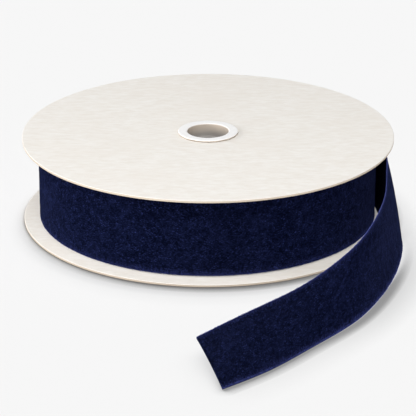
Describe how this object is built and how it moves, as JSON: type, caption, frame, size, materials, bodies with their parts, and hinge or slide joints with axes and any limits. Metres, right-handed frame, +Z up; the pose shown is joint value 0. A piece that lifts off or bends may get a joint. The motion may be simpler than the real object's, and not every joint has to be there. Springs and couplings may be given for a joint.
{
  "type": "spool of velvet ribbon",
  "caption": "Ribbon spool lying flat: round boards on a hub, velvet ribbon wound between them, its loose end curving out over the rim and down to the table.",
  "frame": {"origin": "middle of the whole object's footprint, on the table surface, in front of the spool's own axis", "axes": "+Z up along the spool's axis, -Y towards the cut end of the loose ribbon, +X towards the side where the ribbon leaves the spool"},
  "size_m": [0.1824, 0.2856, 0.0435],
  "materials": {
    "paperboard": "matt cream paper on board, faint fibres, tan cut edge",
    "hub_plastic": "satin white moulded plastic",
    "velvet": "dark navy velvet pile with a bluish sheen at grazing angles"
  },
  "bodies": {
    "root": {"flange_bottom": "paperboard", "flange_top": "paperboard", "hub": "hub_plastic", "ribbon_roll": "velvet", "ribbon_tail": "velvet"}
  },
  "joints": []
}
